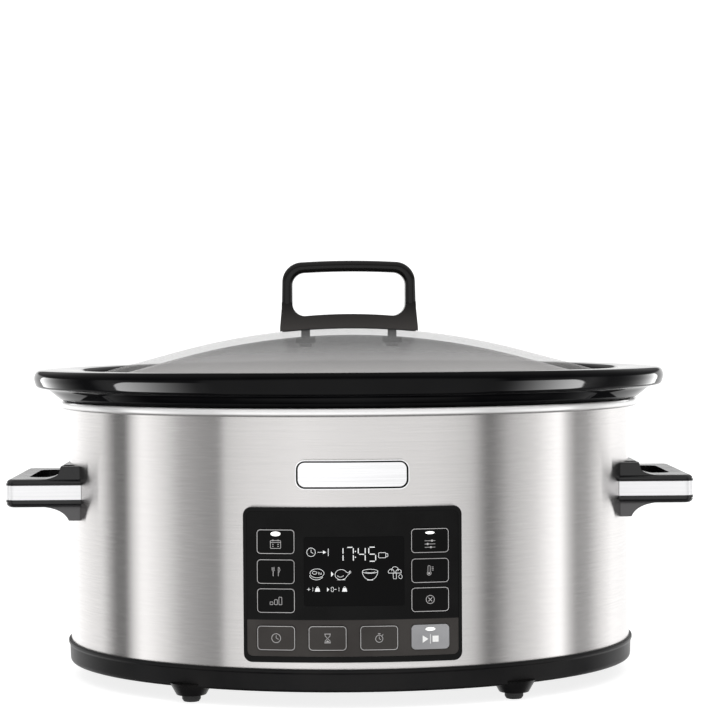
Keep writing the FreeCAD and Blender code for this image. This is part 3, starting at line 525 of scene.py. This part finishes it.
class Print:
    """Flat ink shapes on a panel layer: strokes and filled outlines, drawn in x, z millimetres."""

    def __init__(self, node_name):
        self.low = face_radius(node_name) + PRINT_LIFT
        self.verts = []
        self.faces = []

    def ring(self, outline):
        first = len(self.verts)
        for x, z in outline:
            self.verts.append(on_panel(x, z, self.low))
        for x, z in outline:
            self.verts.append(on_panel(x, z, self.low + INK))
        return first, len(outline)

    def fill(self, outline):
        first, n = self.ring(outline)
        self.faces.append(tuple(first + n + k for k in range(n)))
        self.faces.append(tuple(first + k for k in reversed(range(n))))
        for k in range(n):
            k2 = (k + 1) % n
            self.faces.append((first + k, first + k2, first + n + k2, first + n + k))

    def stroke(self, points, width, closed=False):
        points = dense(points, closed)
        n = len(points)
        sides = []
        for i in range(n):
            p = points[i - 1] if closed or i > 0 else points[i]
            q = points[(i + 1) % n] if closed or i < n - 1 else points[i]
            dx, dz = q[0] - p[0], q[1] - p[1]
            length = math.hypot(dx, dz) or 1.0
            nx, nz = -dz / length * width / 2, dx / length * width / 2
            x, z = points[i]
            sides.append(((x + nx, z + nz), (x - nx, z - nz)))
        first = len(self.verts)
        for left, right in sides:
            for radius in (self.low, self.low + INK):
                self.verts.append(on_panel(*left, radius))
                self.verts.append(on_panel(*right, radius))
        count = n if closed else n - 1
        for i in range(count):
            a = first + 4 * i
            b = first + 4 * ((i + 1) % n)
            self.faces += [(a, b, b + 1, a + 1), (a + 2, a + 3, b + 3, b + 2)]
            self.faces += [(a, a + 2, b + 2, b), (a + 1, b + 1, b + 3, a + 3)]
        if not closed:
            z = first + 4 * (n - 1)
            self.faces += [(first, first + 1, first + 3, first + 2), (z, z + 2, z + 3, z + 1)]

    def arc(self, x, z, rx, rz, start, end, width, steps=24):
        full = abs(end - start) >= 360
        count = steps if full else steps + 1
        turns = [math.radians(start + (end - start) * k / steps) for k in range(count)]
        self.stroke([(x + rx * math.cos(t), z + rz * math.sin(t)) for t in turns], width, full)

    def disc(self, x, z, rx, rz, steps=28):
        turns = [2 * math.pi * k / steps for k in range(steps)]
        self.fill([(x + rx * math.cos(t), z + rz * math.sin(t)) for t in turns])

    def frame(self, x, z, half_w, half_h, r, width):
        self.stroke(round_rect(x, z, half_w, half_h, r), width, True)

    def finish(self, name, mat, body, slot_name):
        return place(new_object(name, self.verts, self.faces, mat, 30.0), body, slot_name)


def round_rect(x, z, half_w, half_h, r, steps=8):
    out = []
    for sx, sz, start in ((1, 1, 0), (-1, 1, 90), (-1, -1, 180), (1, -1, 270)):
        cx = sx * (half_w - r)
        cz = sz * (half_h - r)
        for k in range(steps + 1):
            t = math.radians(start + 90 * k / steps)
            out.append((x + cx + r * math.cos(t), z + cz + r * math.sin(t)))
    return out


def clock(ink, x, z, r, w, hand):
    ink.arc(x, z, r, r, 0, 360, w, 32)
    ink.stroke([(x, z + r * 0.62), (x, z), (x + hand, z - hand * 0.5)], w)


def icon_calendar(ink, x, z):
    ink.frame(x, z - 0.4, 3.0, 2.3, 0.5, 0.28)
    ink.stroke([(x - 3.0, z + 0.8), (x + 3.0, z + 0.8)], 0.28)
    for dx in (-1.5, 1.5):
        ink.stroke([(x + dx, z + 1.4), (x + dx, z + 2.5)], 0.34)
        for dz in (-0.3, -1.5):
            ink.disc(x + dx, z + dz, 0.32, 0.32, 12)


def icon_cutlery(ink, x, z):
    for dx in (-2.1, -1.5, -0.9):
        ink.stroke([(x + dx, z + 2.6), (x + dx, z + 1.0)], 0.24)
    ink.arc(x - 1.5, z + 1.0, 0.6, 0.7, 180, 360, 0.26, 10)
    ink.stroke([(x - 1.5, z + 0.3), (x - 1.5, z - 2.6)], 0.36)
    ink.stroke([(x + 1.5, z - 2.6), (x + 1.5, z + 2.6)], 0.3)
    ink.arc(x + 1.5, z + 1.1, 0.95, 1.5, -90, 90, 0.28, 12)


def icon_amount(ink, x, z):
    for k, height in enumerate((1.6, 2.9, 4.4)):
        ink.frame(x - 2.6 + 2.6 * k, z - 2.3 + height / 2, 0.85, height / 2, 0.3, 0.26)


def icon_sliders(ink, x, z):
    for k, knob in enumerate((1.2, -1.4, 0.5)):
        line = z + 1.1 - 1.9 * k
        ink.stroke([(x - 3.1, line), (x + 3.1, line)], 0.26)
        ink.disc(x + knob, line, 0.62, 0.62, 16)


def icon_thermometer(ink, x, z):
    ink.arc(x - 0.6, z - 1.6, 1.15, 1.15, 125, 415, 0.28, 22)
    ink.arc(x - 0.6, z + 2.2, 0.66, 0.66, 0, 180, 0.28, 10)
    for dx in (-0.66, 0.66):
        ink.stroke([(x - 0.6 + dx, z + 2.2), (x - 0.6 + dx, z - 0.7)], 0.28)
    ink.disc(x - 0.6, z - 1.6, 0.6, 0.6, 14)
    for dz in (0.2, 1.1, 2.0):
        ink.stroke([(x + 0.9, z + dz), (x + 2.1, z + dz)], 0.26)


def icon_cancel(ink, x, z):
    ink.arc(x, z, 2.4, 2.4, 0, 360, 0.3, 30)
    for s in (-1, 1):
        ink.stroke([(x - 1.1, z - 1.1 * s), (x + 1.1, z + 1.1 * s)], 0.32)


def icon_clock(ink, x, z):
    clock(ink, x, z, 2.6, 0.3, 1.4)


def icon_hourglass(ink, x, z):
    for s in (-1, 1):
        ink.stroke([(x - 1.8, z + 2.6 * s), (x + 1.8, z + 2.6 * s)], 0.34)
    for s in (-1, 1):
        side = [(1.5, 2.5), (1.4, 1.4), (0, 0), (1.4, -1.4), (1.5, -2.5)]
        ink.stroke([(x + s * dx, z + dz) for dx, dz in side], 0.28)
    ink.fill([(x - 1.1, z - 2.2), (x, z - 1.1), (x + 1.1, z - 2.2)])


def icon_stopwatch(ink, x, z):
    clock(ink, x, z - 0.4, 2.1, 0.3, 1.0)
    ink.stroke([(x - 0.7, z + 2.5), (x + 0.7, z + 2.5)], 0.42)
    ink.stroke([(x + 1.7, z + 1.5), (x + 2.3, z + 2.1)], 0.34)


def icon_play_stop(ink, x, z):
    ink.fill([(x - 4.6, z + 2.2), (x - 4.6, z - 2.2), (x - 1.2, z)])
    ink.stroke([(x, z + 2.8), (x, z - 2.8)], 0.3)
    ink.fill([(x + 1.2, z + 1.8), (x + 1.2, z - 1.8), (x + 4.8, z - 1.8), (x + 4.8, z + 1.8)])


KEY_ICONS = {
    "key_left_1": icon_calendar, "key_left_2": icon_cutlery, "key_left_3": icon_amount,
    "key_right_1": icon_sliders, "key_right_2": icon_thermometer, "key_right_3": icon_cancel,
    "key_low_1": icon_clock, "key_low_2": icon_hourglass, "key_low_3": icon_stopwatch,
    "key_start": icon_play_stop,
}
KEY_W, KEY_H = 22.2, 14.4
KEY_LAMPS = {"key_left_1": (2.9, 1.35), "key_right_1": (2.7, 0.8), "key_start": (2.9, 1.0)}


def key_graphics():
    for key, icon in KEY_ICONS.items():
        low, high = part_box(key)
        x = 0.5 * (low[0] + high[0]) / MM
        z = 0.5 * (low[2] + high[2]) / MM
        half_w = 0.5 * KEY_W
        half_h = 0.5 * KEY_H
        body = key + "_cap"
        if key != "key_start":
            border = Print(key)
            border.frame(x, z, half_w - 0.3, half_h - 0.3, 2.0, 0.34)
            border.finish("outline_" + key, PRINT_PALE, body, "panel_print")
        ink = Print(key)
        icon(ink, x, z - (1.2 if key in KEY_LAMPS else 0.0))
        ink.finish("symbol_" + key, PRINT_WHITE if key == "key_start" else PRINT_PALE, body, "panel_print")
        if key in KEY_LAMPS:
            lamp = Print(key)
            lamp.disc(x, z + half_h - 2.6, *KEY_LAMPS[key])
            lamp.finish("lamp_" + key, LAMP_ON, body, "led_clear")


# seven segments: ends of each bar on a unit cell
SEGMENTS = {"a": ((0, 2), (1, 2)), "b": ((1, 2), (1, 1)), "c": ((1, 1), (1, 0)), "d": ((0, 0), (1, 0)),
            "e": ((0, 1), (0, 0)), "f": ((0, 2), (0, 1)), "g": ((0, 1), (1, 1))}
DIGITS = {"0": "abcdef", "1": "bc", "4": "fgbc", "5": "afgcd", "7": "abc"}


def digit(ink, char, x, z, w, h, width):
    for key in DIGITS[char]:
        (x0, z0), (x1, z1) = SEGMENTS[key]
        p = (x + x0 * w, z + z0 * h / 2)
        q = (x + x1 * w, z + z1 * h / 2)
        shrink = 0.12
        ink.stroke([(p[0] + (q[0] - p[0]) * shrink, p[1] + (q[1] - p[1]) * shrink),
                    (q[0] + (p[0] - q[0]) * shrink, q[1] + (p[1] - q[1]) * shrink)], width)


def display_time(ink):
    for char, x in (("1", -9.6), ("7", -3.6), ("4", 3.3), ("5", 9.4)):
        digit(ink, char, x, 86.6, 4.0, 8.2, 0.52)
    for z in (89.0, 92.4):
        ink.disc(1.6, z, 0.36, 0.36, 12)


def display_marks(ink):
    # a lidded tray beside the time, and a finish-time mark at the left
    ink.frame(17.2, 90.0, 2.1, 1.5, 0.5, 0.26)
    ink.stroke([(19.4, 90.9), (20.5, 90.9), (20.5, 89.1), (19.4, 89.1)], 0.26)
    clock(ink, -24.2, 92.0, 2.5, 0.26, 1.3)
    ink.stroke([(-20.4, 92.0), (-15.6, 92.0)], 0.26)
    ink.fill([(-17.2, 93.0), (-15.4, 92.0), (-17.2, 91.0)])
    ink.stroke([(-14.2, 94.2), (-14.2, 89.8)], 0.3)
    ink.fill([(-12.6, 80.8), (-11.2, 79.2), (-12.6, 77.6)])
    ink.fill([(-15.0, 71.4), (-13.8, 70.2), (-15.0, 69.0)])


def food_meat(ink, x, z):
    ink.arc(x, z + 0.6, 4.1, 2.6, 0, 360, 0.24, 30)
    ink.arc(x - 0.4, z - 0.4, 4.0, 2.8, 185, 335, 0.24, 18)
    ink.arc(x - 1.4, z + 0.9, 1.3, 0.9, 0, 360, 0.22, 16)
    for k in range(3):
        ink.stroke([(x + 0.6 + k * 0.9, z + 1.4 - 0.2 * k), (x + 1.2 + k * 0.8, z - 0.2)], 0.20)


def food_bird(ink, x, z):
    ink.arc(x - 0.8, z - 0.2, 3.5, 3.0, 30, 330, 0.25, 26)
    ink.stroke([(x + 2.2, z + 1.4), (x + 3.4, z + 0.6), (x + 4.2, z + 1.6)], 0.25)
    ink.stroke([(x + 2.2, z - 1.7), (x + 3.4, z - 0.2), (x + 4.4, z + 0.6)], 0.25)
    ink.arc(x + 4.4, z + 1.3, 0.55, 0.55, 0, 360, 0.22, 12)
    ink.arc(x - 1.2, z - 0.2, 1.9, 1.4, 200, 340, 0.22, 12)
    ink.stroke([(x - 3.0, z - 3.2), (x + 1.6, z - 3.2)], 0.24)


def food_bowl(ink, x, z):
    ink.arc(x, z + 1.6, 4.5, 1.2, 0, 360, 0.24, 30)
    ink.arc(x, z + 1.6, 4.5, 5.0, 180, 360, 0.25, 24)
    ink.stroke([(x - 1.7, z - 3.5), (x + 1.7, z - 3.5)], 0.28)
    ink.arc(x, z + 1.4, 2.9, 0.6, 190, 350, 0.2, 12)


def food_vegetable(ink, x, z):
    for dx, dz, r in ((-2.0, 1.0, 1.7), (0.2, 2.2, 1.9), (2.3, 0.9, 1.6)):
        ink.arc(x + dx, z + dz, r, r, -20, 200, 0.24, 16)
    ink.stroke([(x - 3.6, z + 0.4), (x + 3.8, z + 0.3)], 0.24)
    ink.stroke([(x - 0.9, z + 0.3), (x - 0.7, z - 3.0), (x + 1.1, z - 3.0), (x + 1.0, z + 0.3)], 0.24)
    ink.arc(x + 3.4, z - 1.8, 1.0, 1.2, 0, 360, 0.22, 16)


def display_graphics():
    ink = Print("display_window")
    display_time(ink)
    display_marks(ink)
    for draw, x in ((food_meat, -20.8), (food_bird, -6.0), (food_bowl, 10.1), (food_vegetable, 24.4)):
        draw(ink, x, 79.1)
    for char, x in (("1", -24.6), ("0", -12.6), ("1", -9.4)):
        digit(ink, char, x, 69.0, 1.3, 2.6, 0.24)
    ink.stroke([(-26.6, 70.3), (-24.8, 70.3)], 0.24)
    ink.stroke([(-25.7, 71.2), (-25.7, 69.4)], 0.24)
    ink.stroke([(-10.8, 70.3), (-9.6, 70.3)], 0.32)
    for x in (-20.6, -4.8):
        ink.fill([(x - 1.5, 69.0), (x + 1.5, 69.0), (x + 1.0, 71.0), (x - 1.0, 71.0)])
        ink.arc(x, 71.3, 0.5, 0.5, 0, 360, 0.26, 10)
    ink.finish("display_segments", SEGMENT, "base_unit", "lcd_part")


key_graphics()
display_graphics()


def badge_border():
    # a dark inlaid line that follows the plate's raised edge
    low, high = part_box("badge")
    x = 0.5 * (low[0] + high[0]) / MM
    z = 0.5 * (low[2] + high[2]) / MM
    half_w = 0.5 * (high[0] - low[0]) / MM - 1.0
    half_h = 0.5 * (high[2] - low[2]) / MM - 1.0
    depth = 2.08
    verts = []
    faces = []
    for wide, lift in ((0.45, 0.0), (-0.45, 0.0), (-0.45, 0.12), (0.45, 0.12)):
        for px, pz in dense(round_rect(x, z, half_w + wide, half_h + wide, 4.6 + wide, 10), True, fixed=24):
            a = WRAP_A + depth + lift
            b = WRAP_B + depth + lift
            verts.append((px * MM, -b * math.sqrt(1 - (px / a) ** 2) * MM, pz * MM))
    n = len(verts) // 4
    for row in range(4):
        for k in range(n):
            k2 = (k + 1) % n
            r2 = (row + 1) % 4
            faces.append((row * n + k, row * n + k2, r2 * n + k2, r2 * n + k))
    place(new_object("badge_border", verts, faces, PANEL_FRAME, 30.0), "base_unit", "panel_black")


badge_border()


# ---------------------------------------------------------------- studio
def wide_step(tree, value, start, end, out_start=0.0, out_end=1.0):
    step = node(tree, "ShaderNodeMapRange", interpolation_type="SMOOTHSTEP")
    step.inputs["From Min"].default_value = start
    step.inputs["From Max"].default_value = end
    step.inputs["To Min"].default_value = out_start
    step.inputs["To Max"].default_value = out_end
    tree.links.new(value, step.inputs["Value"])
    return step.outputs["Result"]


def math_node(tree, operation, a, b):
    m = node(tree, "ShaderNodeMath", operation=operation)
    for k, value in enumerate((a, b)):
        if isinstance(value, (int, float)):
            m.inputs[k].default_value = value
        else:
            tree.links.new(value, m.inputs[k])
    return m.outputs[0]


def direction_ramp(tree, turn, bands):
    # brightness against compass direction, in degrees from the front, positive to the right
    ramp = node(tree, "ShaderNodeValToRGB")
    elements = ramp.color_ramp.elements
    for e, (degrees, value) in zip((elements[0], elements[1]), (bands[0], bands[-1])):
        e.position = degrees / 360 + 0.5
        e.color = (value, value, value, 1)
    for degrees, value in bands[1:-1]:
        e = elements.new(degrees / 360 + 0.5)
        e.color = (value, value, value, 1)
    tree.links.new(turn, ramp.inputs["Fac"])
    return ramp.outputs["Color"]


# brightness round the object, in degrees from the front, positive to the right; these numbers were set
# with a helper script that compared renders with the photograph along one strip, as report.md says
BELT = [(-180, 0.583), (-140, 0.767), (-107, 0.55), (-100, 0.275), (-95, 0.092), (-88, 0.108), (-83, 0.6),
        (-78, 0.858), (-66, 0.558), (-58, 0.3), (-50, 0.225), (-42.8, 0.183), (-40.8, 0.517), (-31, 0.6),
        (-15, 0.683), (0, 0.633), (26, 0.583), (34, 0.525), (40, 0.458), (42.8, 0.258), (45.6, 0.092),
        (49, 0.15), (55, 0.367), (66, 0.55), (78.7, 0.983), (83.5, 0.517), (89, 0.217), (97, 0.258),
        (108, 0.55), (122, 0.775), (180, 0.583)]
BELT_POWER = 1.8


def light_world():
    # soft studio light: a belt of panels all round the object under a grey ceiling
    world = bpy.data.worlds.new("studio")
    bpy.context.scene.world = world
    world.use_nodes = True
    tree = world.node_tree
    background = tree.nodes["Background"]
    coords = node(tree, "ShaderNodeTexCoord")
    split = node(tree, "ShaderNodeSeparateXYZ")
    tree.links.new(coords.outputs["Generated"], split.inputs["Vector"])
    z = split.outputs["Z"]
    away = math_node(tree, "MULTIPLY", split.outputs["Y"], -1.0)
    angle = math_node(tree, "ARCTAN2", split.outputs["X"], away)
    turn = math_node(tree, "ADD", math_node(tree, "DIVIDE", angle, 2 * math.pi), 0.5)
    belt = math_node(tree, "MULTIPLY", direction_ramp(tree, turn, BELT), BELT_POWER)
    belt = math_node(tree, "MULTIPLY", belt, wide_step(tree, z, -0.8, -0.6))
    belt = math_node(tree, "MULTIPLY", belt, wide_step(tree, z, 0.1, 0.18, 1.0, 0.0))
    ceiling = math_node(tree, "MULTIPLY", wide_step(tree, z, 0.1, 0.18),
                        wide_step(tree, z, 0.12, 0.6, 0.16, 0.75))
    total = math_node(tree, "ADD", belt, ceiling)
    tree.links.new(total, background.inputs["Color"])
    background.inputs["Strength"].default_value = 1.0


def stage_plane(name, corners, mat, glossy=True):
    obj = new_object(name, corners, [(0, 1, 2, 3)], mat)
    obj.visible_glossy = glossy
    return obj


def studio():
    light_world()
    pale, tree, bsdf = shader("floor_paint", (0.4, 0.4, 0.4), 0.0, 0.9, 0.0)
    tone = ramp_between(tree, noise(tree, 3.0), (0.39, 0.39, 0.39), (0.4, 0.4, 0.4))
    tree.links.new(tone, bsdf.inputs["Base Color"])
    tree.links.new(tone, bsdf.inputs["Emission Color"])
    bsdf.inputs["Emission Strength"].default_value = 2.1
    stage_plane("floor", [(-9, -4, 0), (9, -4, 0), (9, 5, 0), (-9, 5, 0)], pale, glossy=False)
    wall, tree, bsdf = shader("backdrop_paint", (0.2, 0.2, 0.2), 0.0, 0.9, 0.0)
    tone = ramp_between(tree, noise(tree, 2.0), (0.99, 0.99, 0.99), (1.0, 1.0, 1.0))
    tree.links.new(tone, bsdf.inputs["Emission Color"])
    bsdf.inputs["Emission Strength"].default_value = 1.05
    stage_plane("backdrop", [(-9, 5, -0.2), (9, 5, -0.2), (9, 5, 6), (-9, 5, 6)], wall, glossy=False)
    overhead = area_light("overhead", (0.0, -0.2, 2.4), (0.0, -0.2, 0.0), 3.2, 3.0, 40.0)
    overhead.visible_glossy = False
    crock_only = bpy.data.collections.new("lit_by_cards")
    for obj in bpy.context.scene.objects:
        if obj.name == "glazed_crock":
            crock_only.objects.link(obj)
    for name, spot, width, height, energy, flip in CARDS:
        card = area_light(name, spot, (0.36 * spot[0], 0.3 * spot[1], 0.19), width, height, energy)
        fade_card(card, flip)
        card.light_linking.receiver_collection = crock_only


# cards that draw the highlights on the glazed rim: name, centre, width, height, power, faded to the left
CARDS = [
    ("card_left", (-0.415, -0.333, 0.105), 0.36, 0.21, 7.0, False),
    ("card_right", (0.425, -0.33, 0.105), 0.34, 0.21, 8.0, True),
    ("card_rear_left", (-0.80, 0.30, 0.10), 0.60, 0.40, 6.0, False),
    ("card_rear_right", (0.80, 0.30, 0.10), 0.60, 0.40, 6.0, True),
]


ROUND_END = 0.16    # share of a card's width that its rounded end takes


def fade_card(lamp, flip):
    # full at the rounded outer end, fading smoothly towards the inner end
    lamp.data.use_nodes = True
    tree = lamp.data.node_tree
    where = node(tree, "ShaderNodeNewGeometry")
    split = node(tree, "ShaderNodeSeparateXYZ")
    tree.links.new(where.outputs["Parametric"], split.inputs["Vector"])
    along = split.outputs["X"]
    if flip:
        along = math_node(tree, "SUBTRACT", 1.0, along)
    fade = wide_step(tree, along, 0.05, 1.0, 1.0, 0.0)
    fade = math_node(tree, "POWER", fade, 1.6)
    past = math_node(tree, "DIVIDE", math_node(tree, "SUBTRACT", ROUND_END, along), ROUND_END)
    end = math_node(tree, "MAXIMUM", past, 0.0)
    side = math_node(tree, "SUBTRACT", math_node(tree, "MULTIPLY", split.outputs["Y"], 2.0), 1.0)
    reach = math_node(tree, "ADD", math_node(tree, "MULTIPLY", end, end),
                      math_node(tree, "MULTIPLY", side, side))
    card = math_node(tree, "MULTIPLY", fade, wide_step(tree, reach, 0.72, 1.0, 1.0, 0.0))
    tree.links.new(card, tree.nodes["Emission"].inputs["Strength"])


def area_light(name, spot, target, width, height, energy):
    data = bpy.data.lights.new(name, "AREA")
    data.shape = "RECTANGLE"
    data.size = width
    data.size_y = height
    data.energy = energy
    lamp = bpy.data.objects.new(name, data)
    lamp.location = spot
    aim = Vector(target) - Vector(spot)
    lamp.rotation_euler = aim.to_track_quat("-Z", "Y").to_euler()
    lamp.visible_camera = False
    bpy.context.scene.collection.objects.link(lamp)
    return lamp


CAMERA_PLACE = (-0.01338, -1.30395, 0.2342)
LENS_MM = 100.65
HEADING = math.radians(0.9)     # to the right of straight back
TILT = math.radians(1.49)       # downwards
ROLL = math.radians(-0.35)


def camera():
    cam = bpy.data.cameras.new("camera")
    cam.sensor_width = 36.0
    cam.lens = LENS_MM
    cam.clip_end = 50
    obj = bpy.data.objects.new("camera", cam)
    obj.location = CAMERA_PLACE
    heading = Vector((math.sin(HEADING), math.cos(HEADING), 0))
    look = heading * math.cos(TILT) + Vector((0, 0, -math.sin(TILT)))
    turn = look.to_track_quat("-Z", "Y")
    obj.rotation_mode = "QUATERNION"
    obj.rotation_quaternion = turn @ Quaternion(Vector((0, 0, 1)), ROLL)
    bpy.context.scene.collection.objects.link(obj)
    bpy.context.scene.camera = obj


studio()
camera()
bpy.context.scene.view_settings.view_transform = "Standard"
